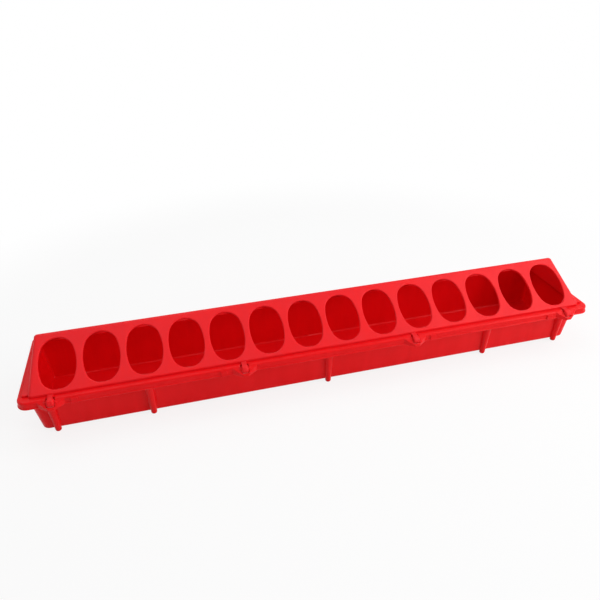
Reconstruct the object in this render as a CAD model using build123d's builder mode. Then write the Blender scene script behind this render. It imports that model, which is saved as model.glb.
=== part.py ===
from build123d import *
from math import cos, hypot, radians, sin
import os

os.makedirs("parts", exist_ok=True)

# Feed holes: ovals cut square through the two sloping panels of the lid (all sizes in mm)
holes_per_side = 14
hole_pitch = 33.6
hole_length = 43.6          # up the slope
hole_width = 28.6
hole_side_bulge = 1.3       # the sides swell past the round ends by this much
hole_edge_radius = 0.8      # on the outer face

# Lid: a gable-shaped shell with closed ends that stands on the trough's rim
panel_slope = 33.4          # degrees from level
ridge_strip = 5.4           # plain strip between the ridge line and the holes, up the slope
eaves_strip = 2.4           # plain strip between the holes and the lid's long edge
end_margin = 22.6           # from the last hole's middle to the foot of the end panel
end_lean = 6.0              # the ridge stops this far short of the foot of the end panel
lid_wall = 1.6
skirt_height = 1.8          # upright edge below the sloping panels
ridge_radius = 3.0          # on the ridge, the hips and the upright corners
eaves_radius = 0.8
end_foot_seat = 2.2         # width of the end panel's foot that bears on the rim
end_foot_inset = 3.0        # the foot is this much narrower than the lid on each side

# Tray: the hollow below the rim, with walls that lean outwards
tray_wall = 1.6
tray_depth = 39.5           # underside of the floor to the top of the rim
side_flare = 3.0            # each long wall leans out by this much from floor to rim
end_flare = 4.8
seat_overlap = 6.8          # the rim reaches in below the lid's long edges by this much
end_gap = 2.4               # the tray's mouth passes the foot of the lid's end panel by this
tray_corner_radius = 6.0
feed_corner_radius = 2.4    # the same corners inside the tray
floor_edge_radius = 2.0

# Rim: a level shelf round the mouth, with a lip turned down from its outer edge
rim_thickness = 1.6
rim_shelf = 5.1             # shelf outside the lid's long edges
rim_end_shelf = 8.4         # shelf outside the lid's ends
rim_corner_radius = 8.0
rim_edge_radius = 1.6
lip_height = 6.4            # top of the rim to the bottom of the lip
lip_wall = 1.6
bead_reach = 0.6            # rolled bead along the bottom of the lip
bead_height = 1.3
bead_edge_radius = 0.5

# Ears: wedges on the lip's near side, each with a bar across its slot
ear_inset = 25.0            # from the end of the rim to the middle of the outer ears
ear_root_width = 20.0
ear_tip_width = 4.0
ear_reach = 6.0
ear_tip_height = 1.4        # at the tip, from where the top slopes up to the rim
ear_tip_radius = 1.5
ear_rise_inset = 1.0        # the sloping top reaches the rim's level this far inside its edge
bar_radius = 1.4
bar_seat = 1.5              # length of each end of the bar that is moulded into the ear
bar_drop = 2.6              # the bar's axis is this far below the top of the rim
bar_set_out = 0.9           # and this far outside the rim's edge
slot_clearance = 0.35       # between a turning knob and the ends of its slot
slot_side_clearance = 0.5
slot_wall = 1.6             # between a slot and the hollow under the rim
catch_pad_width = 5.0       # flat pad on the lip beside each ear
catch_pad_offset = 17.0     # from the middle of the ear to the middle of its pad
catch_pad_reach = 0.9

# Hooks: round knobs on short arms that straddle the bars, so the lid swings open on them
hook_width = 5.6
hook_wall = 1.7
hook_clearance = 0.3        # between a bar and its hook
knob_edge_radius = 1.5
arm_width = 4.0
arm_height = 0.8

# Ribs: tapered round ribs on the long walls, whose ends are the feet
foot_drop = 2.5             # the feet stand this far below the floor
foot_radius = 2.4
rib_top_radius = 4.4
foot_tip_radius = 1.5
foot_inset = 11.7           # from the end of the floor to the middle of the outer ribs

# Levels
floor_z = foot_drop
rim_z = floor_z + tray_depth
lip_z = rim_z - lip_height
bar_z = rim_z - bar_drop

# Plan sizes of the lid, from its holes
slope = radians(panel_slope)
slant = ridge_strip + hole_length + eaves_strip
lid_half_width = slant * cos(slope)
lid_half_length = (holes_per_side - 1) * hole_pitch / 2 + end_margin
eaves_z = rim_z + skirt_height
ridge_z = eaves_z + slant * sin(slope)

# Plan sizes of the tray and the rim, from the lid that they carry
mouth_half_width = lid_half_width - seat_overlap
mouth_half_length = lid_half_length + end_gap
rim_half_width = lid_half_width + rim_shelf
rim_half_length = lid_half_length + rim_end_shelf
floor_half_width = mouth_half_width + tray_wall - side_flare
floor_half_length = mouth_half_length + tray_wall - end_flare

# The ears widen one side only, so the tray's middle stands back from the middle of the whole
middle_y = (ear_reach - bead_reach) / 2

# Bars and hooks, with distances out from the tray's middle
bar_out = rim_half_width + bar_set_out
hook_inner = bar_radius + hook_clearance
hook_outer = hook_inner + hook_wall
arm_root = lid_half_width - lid_wall / 2
slot_half_length = hook_outer + slot_clearance
slot_width = hook_width + 2 * slot_side_clearance
ear_root = bar_out - slot_half_length - slot_wall
ear_tip = rim_half_width + ear_reach

# Places on the lid
hole_run = ridge_strip + hole_length / 2    # down the slope from the ridge to the holes' middles
end_foot_reach = end_gap + end_foot_seat

# What repeats along the trough
ear_x = rim_half_length - ear_inset
ear_places = [-ear_x, -ear_x / 3, ear_x / 3, ear_x]
pad_x = [ear_x - catch_pad_offset, ear_x / 3 + catch_pad_offset]
pad_places = [end * place for end in (-1, 1) for place in pad_x]
foot_x = floor_half_length - foot_inset
foot_places = [-foot_x, -foot_x * 2 / 3, 0, foot_x * 2 / 3, foot_x]


def near_side(places):
    """Places along the near side for a piece drawn with +Y pointing out of the trough's middle."""
    return [Location((place, middle_y, 0), (0, 0, 180)) for place in places]


def far_side(places):
    """The same places along the far side."""
    return [Location((place, middle_y, 0)) for place in places]


def tapered_box(low_z, high_z, low_half, high_half, low_radius, high_radius):
    """A block that widens from its floor outline to its mouth outline, with round upright corners."""
    with BuildPart() as block:
        with BuildSketch(Plane((0, middle_y, low_z))):
            RectangleRounded(2 * low_half[0], 2 * low_half[1], low_radius)
        with BuildSketch(Plane((0, middle_y, high_z))):
            RectangleRounded(2 * high_half[0], 2 * high_half[1], high_radius)
        loft(ruled=True)
        fillet(block.edges().group_by(Axis.Z)[0], floor_edge_radius)
    return block.part


def feed_hole():
    """The oval of a feed hole: four tangent arcs, its long side up the slope (local Y)."""
    half_width = hole_width / 2
    end_radius = half_width - hole_side_bulge
    end_centre = hole_length / 2 - end_radius
    side_radius = (half_width**2 + end_centre**2 - end_radius**2) / (2 * hole_side_bulge)
    side_centre = side_radius - half_width
    reach = hypot(side_centre, end_centre)
    join_x = end_radius * side_centre / reach
    join_y = end_centre + end_radius * end_centre / reach
    with BuildSketch() as oval:
        with BuildLine():
            ThreePointArc((join_x, join_y), (0, hole_length / 2), (-join_x, join_y))
            ThreePointArc((-join_x, join_y), (-half_width, 0), (-join_x, -join_y))
            ThreePointArc((-join_x, -join_y), (0, -hole_length / 2), (join_x, -join_y))
            ThreePointArc((join_x, -join_y), (half_width, 0), (join_x, join_y))
        make_face()
    return oval.sketch


def gable(inset, drop):
    """The lid's block: a gable along X with leaning ends. The inset one is the hollow inside it."""
    with BuildPart() as block:
        with BuildSketch(Plane((0, middle_y, 0), x_dir=(0, 1, 0), z_dir=(1, 0, 0))):
            with BuildLine():
                Polyline(
                    (-lid_half_width, rim_z - drop),
                    (-lid_half_width, eaves_z),
                    (0, ridge_z),
                    (lid_half_width, eaves_z),
                    (lid_half_width, rim_z - drop),
                    close=True,
                )
            make_face()
            if inset:
                offset(amount=-inset, kind=Kind.INTERSECTION)
        extrude(amount=lid_half_length, both=True)
        lean = end_lean / (ridge_z - rim_z)
        with BuildSketch(Plane.XZ):
            with BuildLine():
                Polyline(
                    (-lid_half_length - lean * drop, rim_z - drop),
                    (-lid_half_length + end_lean, ridge_z),
                    (lid_half_length - end_lean, ridge_z),
                    (lid_half_length + lean * drop, rim_z - drop),
                    close=True,
                )
            make_face()
            if inset:
                offset(amount=-inset, kind=Kind.INTERSECTION)
        extrude(amount=2 * lid_half_width, both=True, mode=Mode.INTERSECT)
        outside = [
            edge for edge in block.edges()
            if edge.center().Z > rim_z and edge.bounding_box().size.Z > skirt_height / 2
        ]
        ridge = block.edges().group_by(Axis.Z)[-1]
        fillet(ridge + outside, ridge_radius - inset)
        eaves = [
            edge for edge in block.edges().filter_by(Axis.X)
            if abs(edge.center().Z - eaves_z) < inset + 1e-3
        ]
        fillet(eaves, eaves_radius)
    return block.part


# Trough: tray, rim, lip, ears, bars and ribs in one moulding
with BuildPart() as rib:
    with BuildSketch(Plane.XY):
        with Locations((0, floor_half_width)):
            Circle(foot_radius)
    with BuildSketch(Plane.XY.offset(rim_z - rim_thickness / 2)):
        with Locations((0, floor_half_width + side_flare)):
            Circle(rib_top_radius)
    loft()
    fillet(rib.edges().group_by(Axis.Z)[0], foot_tip_radius)

with BuildPart() as ear:
    # the wedge's plan, its tip rounded
    with BuildSketch(Plane.XY.offset(lip_z)) as ear_plan:
        with BuildLine():
            Polyline(
                (-ear_root_width / 2, ear_root),
                (-ear_root_width / 2, rim_half_width),
                (-ear_tip_width / 2, ear_tip),
                (ear_tip_width / 2, ear_tip),
                (ear_root_width / 2, rim_half_width),
                (ear_root_width / 2, ear_root),
                close=True,
            )
        make_face()
        fillet(ear_plan.vertices().group_by(Axis.Y)[-1], ear_tip_radius)
    extrude(amount=lip_height)
    # its sloping top
    with BuildSketch(Plane.YZ):
        with BuildLine():
            Polyline(
                (rim_half_width - ear_rise_inset, rim_z),
                (ear_tip, lip_z + ear_tip_height),
                (ear_tip, rim_z),
                close=True,
            )
        make_face()
    extrude(amount=ear_root_width, both=True, mode=Mode.SUBTRACT)

with BuildPart() as bead:
    with BuildSketch(Plane((0, middle_y, lip_z))):
        RectangleRounded(2 * rim_half_length, 2 * rim_half_width, rim_corner_radius)
        offset(amount=bead_reach)
    extrude(amount=bead_height)
    fillet(bead.edges().group_by(Axis.Z)[0] + bead.edges().group_by(Axis.Z)[-1], bead_edge_radius)

with BuildPart() as feed_space:
    add(tapered_box(
        floor_z + tray_wall,
        rim_z,
        (floor_half_length - tray_wall + end_flare * tray_wall / tray_depth,
         floor_half_width - tray_wall + side_flare * tray_wall / tray_depth),
        (mouth_half_length, mouth_half_width),
        feed_corner_radius,
        feed_corner_radius,
    ))

with BuildPart() as trough_base:
    # rim and lip as a block with its top edge rounded, the bead along it, and the hollow under the shelf
    with BuildSketch(Plane((0, middle_y, lip_z))):
        RectangleRounded(2 * rim_half_length, 2 * rim_half_width, rim_corner_radius)
    extrude(amount=lip_height)
    fillet(trough_base.edges().group_by(Axis.Z)[-1], rim_edge_radius)
    add(bead.part)
    with BuildSketch(Plane((0, middle_y, lip_z))):
        RectangleRounded(2 * rim_half_length, 2 * rim_half_width, rim_corner_radius)
        offset(amount=-lip_wall)
    extrude(amount=lip_height - rim_thickness, mode=Mode.SUBTRACT)
    # pads on the face of the lip
    with BuildSketch(Plane.XY.offset(lip_z)):
        with Locations(*near_side(pad_places)):
            with Locations((0, rim_half_width)):
                Rectangle(catch_pad_width, 2 * catch_pad_reach)
    extrude(amount=lip_height - rim_edge_radius)
    # ears, the slots through them, then the bars across the slots
    with Locations(*near_side(ear_places)):
        add(ear.part)
    with BuildSketch(Plane.XY.offset(rim_z)):
        with Locations(*near_side(ear_places)):
            with Locations((0, bar_out)):
                Rectangle(slot_width, 2 * slot_half_length)
    extrude(amount=-lip_height, mode=Mode.SUBTRACT)
    with Locations(*near_side(ear_places)):
        with Locations((0, bar_out, bar_z)):
            Cylinder(bar_radius, slot_width + 2 * bar_seat, rotation=(0, 90, 0))
    # tray and ribs below the rim, then the hollow for the feed
    add(tapered_box(
        floor_z,
        rim_z,
        (floor_half_length, floor_half_width),
        (mouth_half_length + tray_wall, mouth_half_width + tray_wall),
        tray_corner_radius,
        tray_corner_radius,
    ))
    with Locations(*near_side(foot_places), *far_side(foot_places)):
        add(rib.part)
    add(feed_space.part, mode=Mode.SUBTRACT)

trough_base.part.label = "trough_base"
export_step(trough_base.part, "parts/trough_base.step")

# Lid: gable shell, feed holes, feet of the end panels, and the hooks
with BuildPart() as hook:
    with Locations((0, bar_out, bar_z)):
        Cylinder(hook_outer, hook_width, rotation=(0, 90, 0))
    fillet(hook.edges().filter_by(GeomType.CIRCLE), knob_edge_radius)
    with Locations((0, bar_out, rim_z)):
        Box(arm_width, bar_out - arm_root, arm_height, align=(Align.CENTER, Align.MAX, Align.MIN))
    with Locations((0, bar_out, bar_z)):
        Cylinder(hook_inner, hook_width, rotation=(0, 90, 0), mode=Mode.SUBTRACT)
        mouth = (Align.CENTER, Align.CENTER, Align.MAX)
        Box(hook_width, 2 * hook_inner, hook_outer, align=mouth, mode=Mode.SUBTRACT)

with BuildPart() as lid:
    add(gable(0, 0))
    add(gable(lid_wall, 3 * lid_wall), mode=Mode.SUBTRACT)
    # feet of the end panels, which bear on the rim
    with BuildSketch(Plane((0, middle_y, rim_z))):
        for end in (-1, 1):
            with Locations((end * (lid_half_length + (end_foot_reach - lid_wall) / 2), 0)):
                Rectangle(end_foot_reach + lid_wall, 2 * (lid_half_width - end_foot_inset))
    extrude(amount=lid_wall)
    # feed holes, cut square to each long panel, with their outer edges rounded
    for side in (-1, 1):
        panel = Plane(
            origin=(0, middle_y + side * hole_run * cos(slope), ridge_z - hole_run * sin(slope)),
            x_dir=(1, 0, 0),
            z_dir=(0, side * sin(slope), cos(slope)),
        )
        with BuildSketch(panel):
            with GridLocations(hole_pitch, 0, holes_per_side, 1):
                add(feed_hole())
        extrude(amount=2 * lid_wall, both=True, mode=Mode.SUBTRACT)
        hole_edges = [
            edge for edge in lid.edges().filter_by(GeomType.CIRCLE)
            if abs(panel.to_local_coords(edge.center()).Z) < 1e-3
        ]
        fillet(hole_edges, hole_edge_radius)
    # hooks over the bars
    with Locations(*near_side(ear_places)):
        add(hook.part)

lid.part.label = "lid"
export_step(lid.part, "parts/lid.step")
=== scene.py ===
"""Finish and studio for a long poultry feeding trough: an open tray with a hinged gable lid."""

import logging
import math
from dataclasses import dataclass, field
from enum import Enum

import bpy
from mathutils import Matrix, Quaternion, Vector

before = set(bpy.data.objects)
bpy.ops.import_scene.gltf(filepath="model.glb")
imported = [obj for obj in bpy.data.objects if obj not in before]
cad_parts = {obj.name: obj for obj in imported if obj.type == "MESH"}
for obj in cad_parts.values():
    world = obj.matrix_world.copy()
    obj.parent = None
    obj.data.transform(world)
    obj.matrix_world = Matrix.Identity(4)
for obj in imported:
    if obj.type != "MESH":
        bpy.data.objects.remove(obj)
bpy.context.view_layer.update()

LOG = logging.getLogger("feeder")

MM = 0.001
Colour = tuple[float, float, float]


class Node(Enum):
    """The moulded pieces that the frame brings."""

    TROUGH = "trough_base"
    LID = "lid"


class Slot(Enum):
    """The record's material slots."""

    TROUGH = "trough_plastic"
    LID = "lid_plastic"


class SocketKind(Enum):
    """The kinds of socket that the shader groups use."""

    VALUE = "NodeSocketFloat"
    COLOUR = "NodeSocketColor"
    VECTOR = "NodeSocketVector"


class ShaderSheet:
    """A node tree being laid out: it adds nodes from left to right and joins their sockets."""

    COLUMN = 220.0

    def __init__(self, tree: bpy.types.NodeTree) -> None:
        """Starts on an empty tree.

        Args:
            tree: the node tree of a material, a world or a group.
        """
        self.tree = tree
        tree.nodes.clear()

    def node(
        self, kind: str, label: str, inputs: dict[str, object] | None = None, **settings: object
    ) -> bpy.types.Node:
        """Adds one node.

        Args:
            kind: the node's type name.
            label: what it is for, in plain words.
            inputs: values for its unlinked input sockets, by socket name.
            settings: attributes of the node.

        Returns:
            The new node.
        """
        made = self.tree.nodes.new(kind)
        made.label = label
        made.location = (self.COLUMN * len(self.tree.nodes), 0.0)
        for name, value in settings.items():
            setattr(made, name, value)
        for name, value in (inputs or {}).items():
            made.inputs[name].default_value = value
        return made

    def link(self, source: bpy.types.NodeSocket, target: bpy.types.NodeSocket) -> None:
        """Joins an output socket to an input socket."""
        self.tree.links.new(source, target)

    def maths(
        self, operation: str, first: object, second: object = None, label: str = ""
    ) -> bpy.types.NodeSocket:
        """Adds a Math node whose inputs are sockets or numbers.

        Args:
            operation: the Math node's operation.
            first: a socket or a number.
            second: a socket or a number, or None for a one-input operation.
            label: what it is for.

        Returns:
            The result's socket.
        """
        made = self.node("ShaderNodeMath", label or operation.lower(), operation=operation)
        for index, given in enumerate((first, second)):
            if isinstance(given, bpy.types.NodeSocket):
                self.link(given, made.inputs[index])
            elif given is not None:
                made.inputs[index].default_value = given
        return made.outputs[0]

    def ramp(self, source: bpy.types.NodeSocket, low: float, high: float, label: str) -> bpy.types.NodeSocket:
        """Maps a value from low..high to 0..1 with soft ends.

        Args:
            source: the socket to map.
            low: the value that gives 0.
            high: the value that gives 1.
            label: what it is for.

        Returns:
            The mapped value's socket.
        """
        limits = {"From Min": low, "From Max": high}
        made = self.node("ShaderNodeMapRange", label, limits, interpolation_type="SMOOTHSTEP")
        self.link(source, made.inputs["Value"])
        return made.outputs["Result"]


class GroupSheet(ShaderSheet):
    """A shader node group with named sockets."""

    def __init__(self, name: str) -> None:
        """Starts an empty group.

        Args:
            name: the group's name.
        """
        super().__init__(bpy.data.node_groups.new(name, "ShaderNodeTree"))
        self.entry = self.tree.nodes.new("NodeGroupInput")
        self.exit = self.tree.nodes.new("NodeGroupOutput")

    def takes(self, name: str, default: float, kind: SocketKind = SocketKind.VALUE) -> bpy.types.NodeSocket:
        """Adds a named input.

        Args:
            name: the socket's name.
            default: its value where a material leaves it.
            kind: the socket's kind.

        Returns:
            The socket inside the group.
        """
        made = self.tree.interface.new_socket(name=name, in_out="INPUT", socket_type=kind.value)
        made.default_value = default
        return self.entry.outputs[name]

    def gives(self, name: str, source: bpy.types.NodeSocket, kind: SocketKind = SocketKind.VALUE) -> None:
        """Adds a named output fed by a socket inside the group.

        Args:
            name: the socket's name.
            source: what feeds it.
            kind: the socket's kind.
        """
        self.tree.interface.new_socket(name=name, in_out="OUTPUT", socket_type=kind.value)
        self.link(source, self.exit.inputs[name])


@dataclass(frozen=True)
class MouldGrain:
    """The satin texture that a sand-blasted mould leaves: a fine grain over a slow waviness."""

    name: str = "mould_grain"

    def build(self) -> bpy.types.NodeTree:
        """Builds the group.

        Returns:
            The node group, which puts out a height in metres and a grain mask.
        """
        sheet = GroupSheet(self.name)
        pitch = sheet.takes("Grains per metre", 2400.0)
        depth = sheet.takes("Grain depth", 0.00001)
        wave_pitch = sheet.takes("Waves per metre", 45.0)
        wave_depth = sheet.takes("Wave depth", 0.00002)
        place = sheet.node("ShaderNodeTexCoord", "place on the piece").outputs["Object"]
        grain = sheet.node("ShaderNodeTexNoise", "grain", {"Detail": 3.0, "Roughness": 0.6})
        sheet.link(place, grain.inputs["Vector"])
        sheet.link(pitch, grain.inputs["Scale"])
        wave = sheet.node("ShaderNodeTexNoise", "slow waviness", {"Detail": 2.0, "Roughness": 0.45})
        sheet.link(place, wave.inputs["Vector"])
        sheet.link(wave_pitch, wave.inputs["Scale"])
        fine = sheet.maths("MULTIPLY", grain.outputs["Fac"], depth, "grain height")
        slow = sheet.maths("MULTIPLY", wave.outputs["Fac"], wave_depth, "wave height")
        sheet.gives("Height", sheet.maths("ADD", fine, slow, "height"))
        sheet.gives("Grain", sheet.ramp(grain.outputs["Fac"], 0.35, 0.65, "grain mask"))
        return sheet.tree


@dataclass(frozen=True)
class FlowMarks:
    """Cloudy marks where the melt flowed: streaks across the length, mixed with soft patches."""

    name: str = "flow_marks"

    def build(self) -> bpy.types.NodeTree:
        """Builds the group.

        Returns:
            The node group, which puts out a mask from 0 to 1.
        """
        sheet = GroupSheet(self.name)
        patches = sheet.takes("Patches per metre", 28.0)
        streaks = sheet.takes("Streaks per metre", 110.0)
        drawn_out = sheet.takes("Streak share", 0.5)
        place = sheet.node("ShaderNodeTexCoord", "place on the piece").outputs["Object"]
        soft = {"Detail": 3.0, "Roughness": 0.55, "Distortion": 0.6}
        cloud = sheet.node("ShaderNodeTexNoise", "patches", soft)
        sheet.link(place, cloud.inputs["Vector"])
        sheet.link(patches, cloud.inputs["Scale"])
        narrow = {"Scale": (1.0, 0.16, 0.16)}
        squeeze = sheet.node("ShaderNodeMapping", "drawn out across the length", narrow)
        sheet.link(place, squeeze.inputs["Vector"])
        crisp = {"Detail": 4.0, "Roughness": 0.6, "Distortion": 0.25}
        streak = sheet.node("ShaderNodeTexNoise", "streaks", crisp)
        sheet.link(squeeze.outputs["Vector"], streak.inputs["Vector"])
        sheet.link(streaks, streak.inputs["Scale"])
        blend = sheet.node("ShaderNodeMix", "patches and streaks", data_type="FLOAT")
        sheet.link(drawn_out, blend.inputs["Factor"])
        sheet.link(cloud.outputs["Fac"], blend.inputs["A"])
        sheet.link(streak.outputs["Fac"], blend.inputs["B"])
        sheet.gives("Mask", sheet.ramp(blend.outputs["Result"], 0.36, 0.64, "mask"))
        return sheet.tree


@dataclass(frozen=True)
class SoftEdges:
    """Small radii on the moulding's edges, and a mask of the outer ones, where a paler red is painted on as
    an edge highlight.
    """

    name: str = "soft_edges"
    samples: int = 8

    def build(self) -> bpy.types.NodeTree:
        """Builds the group.

        Returns:
            The node group, which puts out a rounded normal and an edge mask.
        """
        sheet = GroupSheet(self.name)
        radius = sheet.takes("Radius", 0.0005)
        rounded = sheet.node("ShaderNodeBevel", "rounded edges", samples=self.samples)
        sheet.link(radius, rounded.inputs["Radius"])
        surface = sheet.node("ShaderNodeNewGeometry", "surface")
        turn = sheet.node("ShaderNodeVectorMath", "how far the edge turns", operation="DOT_PRODUCT")
        sheet.link(rounded.outputs["Normal"], turn.inputs[0])
        sheet.link(surface.outputs["Normal"], turn.inputs[1])
        sheet.gives("Normal", rounded.outputs["Normal"], SocketKind.VECTOR)
        bend = sheet.maths("SUBTRACT", 1.0, turn.outputs["Value"], "bend")
        sheet.gives("Edge", sheet.ramp(bend, 0.01, 0.22, "edge mask"))
        return sheet.tree


@dataclass(frozen=True)
class PinMarks:
    """Round marks that the mould's ejector pins leave in rows on the tray's underside."""

    name: str = "pin_marks"
    blur: float = 0.3 * MM

    def build(self) -> bpy.types.NodeTree:
        """Builds the group.

        Returns:
            The node group, which puts out a height in metres.
        """
        sheet = GroupSheet(self.name)
        pitch = sheet.takes("Pitch", 0.06)
        radius = sheet.takes("Radius", 0.004)
        depth = sheet.takes("Depth", 0.00015)
        level = sheet.takes("Underside level", 0.003)
        place = sheet.node("ShaderNodeTexCoord", "place on the piece").outputs["Object"]
        axes = sheet.node("ShaderNodeSeparateXYZ", "place along each axis")
        sheet.link(place, axes.inputs["Vector"])
        squares = []
        for axis in ("X", "Y"):
            steps = sheet.maths("DIVIDE", axes.outputs[axis], pitch, "steps along " + axis)
            nearest = sheet.maths("MULTIPLY", sheet.maths("ROUND", steps), pitch, "nearest pin along " + axis)
            away = sheet.maths("SUBTRACT", axes.outputs[axis], nearest, "from the pin along " + axis)
            squares.append(sheet.maths("MULTIPLY", away, away))
        reach = sheet.maths("SQRT", sheet.maths("ADD", *squares), label="from the pin")
        inside = sheet.ramp(sheet.maths("SUBTRACT", radius, reach), 0.0, self.blur, "inside the mark")
        below = sheet.ramp(sheet.maths("SUBTRACT", level, axes.outputs["Z"]), 0.0, self.blur, "underside")
        mark = sheet.maths("MULTIPLY", inside, below, "mark")
        sheet.gives("Height", sheet.maths("MULTIPLY", mark, sheet.maths("MULTIPLY", depth, -1.0)))
        return sheet.tree


@dataclass(frozen=True)
class SharedEffects:
    """The shader groups that both plastics use."""

    grain: bpy.types.NodeTree = field(default_factory=lambda: MouldGrain().build())
    flow: bpy.types.NodeTree = field(default_factory=lambda: FlowMarks().build())
    edges: bpy.types.NodeTree = field(default_factory=lambda: SoftEdges().build())
    pins: bpy.types.NodeTree = field(default_factory=lambda: PinMarks().build())


@dataclass(frozen=True)
class MouldedPlastic:
    """Semi-gloss red polypropylene: its two reds, its gloss and the depth of its mould texture."""

    name: str
    colour: Colour
    cloud_colour: Colour
    # painted edge highlight: the paler red and how much of it the outer edges get
    edge_highlight_colour: Colour
    roughness: float
    rougher: float
    specular: float
    edge_radius: float
    edge_highlight_share: float
    grain_depth: float
    wave_depth: float
    streak_share: float
    see_through: float
    glow_depth: float
    pin_depth: float

    def make(self, shared: SharedEffects) -> bpy.types.Material:
        """Builds the material.

        Args:
            shared: the shader groups that it places.

        Returns:
            The material.
        """
        material = bpy.data.materials.new(self.name)
        material.use_nodes = True
        material.diffuse_color = (*self.colour, 1.0)
        sheet = ShaderSheet(material.node_tree)
        flow = sheet.node("ShaderNodeGroup", "flow marks", node_tree=shared.flow)
        flow.inputs["Streak share"].default_value = self.streak_share
        grain = sheet.node("ShaderNodeGroup", "mould grain", node_tree=shared.grain)
        grain.inputs["Grain depth"].default_value = self.grain_depth
        grain.inputs["Wave depth"].default_value = self.wave_depth
        edges = sheet.node("ShaderNodeGroup", "soft edges", node_tree=shared.edges)
        edges.inputs["Radius"].default_value = self.edge_radius
        pins = sheet.node("ShaderNodeGroup", "pin marks", node_tree=shared.pins)
        pins.inputs["Depth"].default_value = self.pin_depth

        body = sheet.node("ShaderNodeMix", "red with its clouds", data_type="RGBA")
        body.inputs["A"].default_value = (*self.colour, 1.0)
        body.inputs["B"].default_value = (*self.cloud_colour, 1.0)
        sheet.link(flow.outputs["Mask"], body.inputs["Factor"])
        # painted highlight: the outer edges are mixed towards the paler edge red
        pale = sheet.node("ShaderNodeMix", "painted edge highlight", data_type="RGBA")
        pale.inputs["B"].default_value = (*self.edge_highlight_colour, 1.0)
        share = sheet.maths("MULTIPLY", edges.outputs["Edge"], self.edge_highlight_share, "painted highlight share")
        sheet.link(share, pale.inputs["Factor"])
        sheet.link(body.outputs["Result"], pale.inputs["A"])

        span = self.rougher - self.roughness
        cloudy = sheet.maths("MULTIPLY", flow.outputs["Mask"], span, "cloud roughness")
        grainy = sheet.maths("MULTIPLY", grain.outputs["Grain"], span / 2, "grain roughness")
        rough = sheet.maths("ADD", sheet.maths("ADD", cloudy, grainy), self.roughness, "roughness")

        bump = sheet.node("ShaderNodeBump", "mould texture", {"Strength": 1.0, "Distance": 1.0})
        relief = sheet.maths("ADD", grain.outputs["Height"], pins.outputs["Height"], "relief")
        sheet.link(relief, bump.inputs["Height"])
        sheet.link(edges.outputs["Normal"], bump.inputs["Normal"])

        shader = sheet.node("ShaderNodeBsdfPrincipled", "plastic", {
            "Specular IOR Level": self.specular,
            "Subsurface Weight": self.see_through,
            "Subsurface Radius": (1.0, 0.1, 0.08),
            "Subsurface Scale": self.glow_depth,
        })
        sheet.link(pale.outputs["Result"], shader.inputs["Base Color"])
        sheet.link(rough, shader.inputs["Roughness"])
        sheet.link(bump.outputs["Normal"], shader.inputs["Normal"])
        out = sheet.node("ShaderNodeOutputMaterial", "surface")
        sheet.link(shader.outputs["BSDF"], out.inputs["Surface"])
        return material


@dataclass
class Moulding:
    """One injection-moulded piece, carried over from the frame and dressed."""

    node: Node
    slot: Slot
    finish: MouldedPlastic

    def dress(self, shared: SharedEffects) -> bpy.types.Object:
        """Gives the piece its plastic.

        Args:
            shared: the shader groups that the plastics place.

        Returns:
            The piece.
        """
        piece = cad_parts[self.node.value]
        material = self.finish.make(shared)
        for place in piece.material_slots:
            place.material = material
        return piece


@dataclass
class Camera:
    """The photograph's view: where it was taken from, what it looks at and its slight roll."""

    place: tuple[float, float, float] = (-0.1164, -0.4150, 0.3224)
    aim: tuple[float, float, float] = (-0.01535, 0.0027, 0.06685)
    roll: float = -1.573
    lens: float = 34.03

    def build(self) -> bpy.types.Object:
        """Makes the scene's camera.

        Returns:
            The camera.
        """
        data = bpy.data.cameras.new("photo_camera")
        data.lens = self.lens
        data.sensor_width = 36.0
        data.clip_start = 0.01
        data.clip_end = 20.0
        camera = bpy.data.objects.new("photo_camera", data)
        bpy.context.collection.objects.link(camera)
        camera.location = self.place
        camera.rotation_mode = "QUATERNION"
        level = (Vector(self.aim) - Vector(self.place)).to_track_quat("-Z", "Y")
        camera.rotation_quaternion = level @ Quaternion((0.0, 0.0, 1.0), math.radians(self.roll))
        bpy.context.scene.camera = camera
        return camera


@dataclass(frozen=True)
class SoftBox:
    """A square studio lamp."""

    name: str
    place: tuple[float, float, float]
    aim: tuple[float, float, float]
    size: float
    watts: float

    def build(self) -> bpy.types.Object:
        """Hangs the lamp.

        Returns:
            The lamp.
        """
        data = bpy.data.lights.new(self.name, "AREA")
        data.shape = "SQUARE"
        data.size = self.size
        data.energy = self.watts
        lamp = bpy.data.objects.new(self.name, data)
        bpy.context.collection.objects.link(lamp)
        lamp.location = self.place
        lamp.rotation_mode = "QUATERNION"
        lamp.rotation_quaternion = (Vector(self.aim) - Vector(self.place)).to_track_quat("-Z", "Y")
        return lamp


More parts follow.
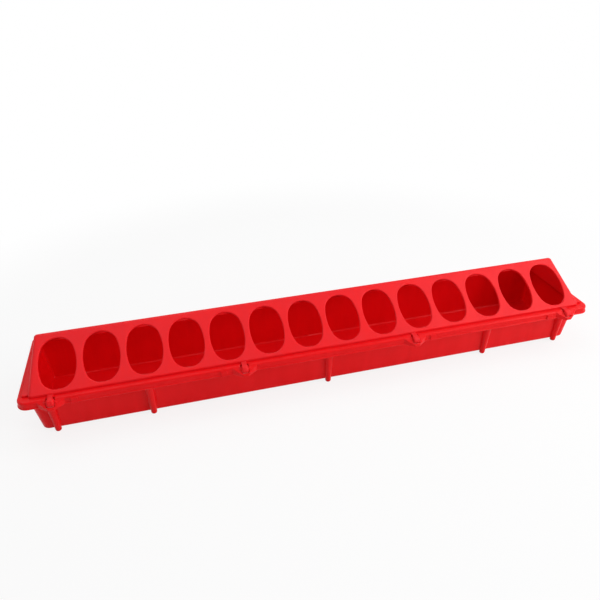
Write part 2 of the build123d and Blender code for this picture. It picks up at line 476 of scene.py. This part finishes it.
@dataclass
class Studio:
    """White floor, white surround and soft lamps."""

    floor_size: float = 6.0
    floor_shade: float = 0.85
    shadow_share: float = 0.16
    shadow_reach: float = 0.34
    shadow_fade: float = 0.20
    sky: float = 0.42
    lamps: tuple[SoftBox, ...] = (
        SoftBox("key_softbox", (0.90, -0.62, 0.48), (0.08, 0.0, 0.03), 0.5, 6.5),
        SoftBox("right_softbox", (0.74, -0.12, 0.86), (0.1, 0.0, 0.05), 0.6, 3.0),
        SoftBox("top_softbox", (-0.25, 0.20, 1.1), (-0.08, 0.0, 0.05), 0.9, 3.5),
    )

    def shown_as_white(self, sheet: ShaderSheet) -> bpy.types.NodeSocket:
        """Adds the mask of rays that see the plain white ground: camera, glossy and transmission rays.

        Args:
            sheet: the node tree that uses it.

        Returns:
            The mask's socket.
        """
        path = sheet.node("ShaderNodeLightPath", "kind of ray")
        first = sheet.maths("MAXIMUM", path.outputs["Is Camera Ray"], path.outputs["Is Glossy Ray"])
        return sheet.maths("MAXIMUM", first, path.outputs["Is Transmission Ray"], "sees white")

    def near_the_trough(self, sheet: ShaderSheet) -> bpy.types.NodeSocket:
        """Adds the mask of the floor around the trough, where its shadow falls.

        Args:
            sheet: the floor's node tree.

        Returns:
            The mask's socket, 1 near the trough and 0 further out.
        """
        place = sheet.node("ShaderNodeTexCoord", "place on the floor").outputs["Object"]
        away = sheet.node("ShaderNodeVectorMath", "distance from the middle", operation="LENGTH")
        sheet.link(place, away.inputs[0])
        outer = self.shadow_reach + self.shadow_fade
        return sheet.ramp(away.outputs["Value"], outer, self.shadow_reach, "near the trough")

    def build_floor(self) -> bpy.types.Object:
        """Lays the floor, pale and matt, whose look is plain white but for the trough's shadow.

        Returns:
            The floor.
        """
        half = self.floor_size / 2
        corners = [(-half, -half, 0), (half, -half, 0), (half, half, 0), (-half, half, 0)]
        mesh = bpy.data.meshes.new("floor")
        mesh.from_pydata(corners, [], [(0, 1, 2, 3)])
        floor = bpy.data.objects.new("floor", mesh)
        bpy.context.collection.objects.link(floor)
        material = bpy.data.materials.new("studio_white")
        material.use_nodes = True
        sheet = ShaderSheet(material.node_tree)
        shade = (self.floor_shade, self.floor_shade, self.floor_shade, 1.0)
        matt = sheet.node("ShaderNodeBsdfDiffuse", "matt floor", {"Color": shade})
        plain = sheet.node("ShaderNodeEmission", "plain white", {"Strength": 1.0})
        shadowed = sheet.maths("MULTIPLY", self.near_the_trough(sheet), self.shadow_share, "shadow share")
        rest = sheet.maths("SUBTRACT", 1.0, shadowed, "plain share")
        share = sheet.maths("MULTIPLY", self.shown_as_white(sheet), rest, "white share")
        mix = sheet.node("ShaderNodeMixShader", "floor with a faint shadow")
        sheet.link(share, mix.inputs["Fac"])
        sheet.link(matt.outputs["BSDF"], mix.inputs[1])
        sheet.link(plain.outputs["Emission"], mix.inputs[2])
        out = sheet.node("ShaderNodeOutputMaterial", "surface")
        sheet.link(mix.outputs["Shader"], out.inputs["Surface"])
        mesh.materials.append(material)
        return floor

    def build_world(self) -> bpy.types.World:
        """Makes the surround: a soft grey light that the camera sees as white.

        Returns:
            The world.
        """
        world = bpy.data.worlds.new("studio")
        world.use_nodes = True
        sheet = ShaderSheet(world.node_tree)
        mask = self.shown_as_white(sheet)
        strength = sheet.maths("ADD", sheet.maths("MULTIPLY", mask, 1.0 - self.sky), self.sky, "strength")
        light = sheet.node("ShaderNodeBackground", "surround", {"Color": (1.0, 1.0, 1.0, 1.0)})
        sheet.link(strength, light.inputs["Strength"])
        out = sheet.node("ShaderNodeOutputWorld", "world")
        sheet.link(light.outputs["Background"], out.inputs["Surface"])
        bpy.context.scene.world = world
        return world

    def build(self) -> None:
        """Sets up the whole studio."""
        bpy.context.scene.view_settings.view_transform = "Standard"
        self.build_floor()
        self.build_world()
        for lamp in self.lamps:
            lamp.build()


def trough() -> Moulding:
    """The tray with its rim, lip, ears, bars and ribs, in the deeper red."""
    return Moulding(
        Node.TROUGH,
        Slot.TROUGH,
        MouldedPlastic(
            name="trough_red_plastic",
            colour=(0.80, 0.003, 0.006),
            cloud_colour=(0.75, 0.002, 0.004),
            # painted edge highlight: a paler red on the edges
            edge_highlight_colour=(0.90, 0.02, 0.03),
            roughness=0.30,
            rougher=0.38,
            specular=0.14,
            edge_radius=0.5 * MM,
            edge_highlight_share=0.35,
            grain_depth=0.006 * MM,
            wave_depth=0.03 * MM,
            streak_share=0.6,
            see_through=0.3,
            glow_depth=4.0 * MM,
            pin_depth=0.15 * MM,
        ),
    )


def lid() -> Moulding:
    """The gable lid with its feed holes, end panels and hooks, in the paler satin red."""
    return Moulding(
        Node.LID,
        Slot.LID,
        MouldedPlastic(
            name="lid_red_plastic",
            colour=(0.84, 0.006, 0.010),
            cloud_colour=(0.79, 0.010, 0.016),
            # painted edge highlight: a paler red on the edges
            edge_highlight_colour=(0.95, 0.04, 0.05),
            roughness=0.36,
            rougher=0.5,
            specular=0.2,
            edge_radius=0.6 * MM,
            edge_highlight_share=0.35,
            grain_depth=0.008 * MM,
            wave_depth=0.06 * MM,
            streak_share=0.45,
            see_through=0.3,
            glow_depth=4.0 * MM,
            pin_depth=0.0,
        ),
    )


def main() -> None:
    """Dresses the pieces, sets up the studio and places the camera."""
    logging.basicConfig(level=logging.INFO, format="%(name)s: %(message)s")
    shared = SharedEffects()
    for moulding in (trough(), lid()):
        piece = moulding.dress(shared)
        LOG.info("%s dressed in %s", piece.name, moulding.finish.name)
    Studio().build()
    LOG.info("studio set up")
    Camera().build()
    LOG.info("camera placed")


if __name__ == "__main__":
    main()
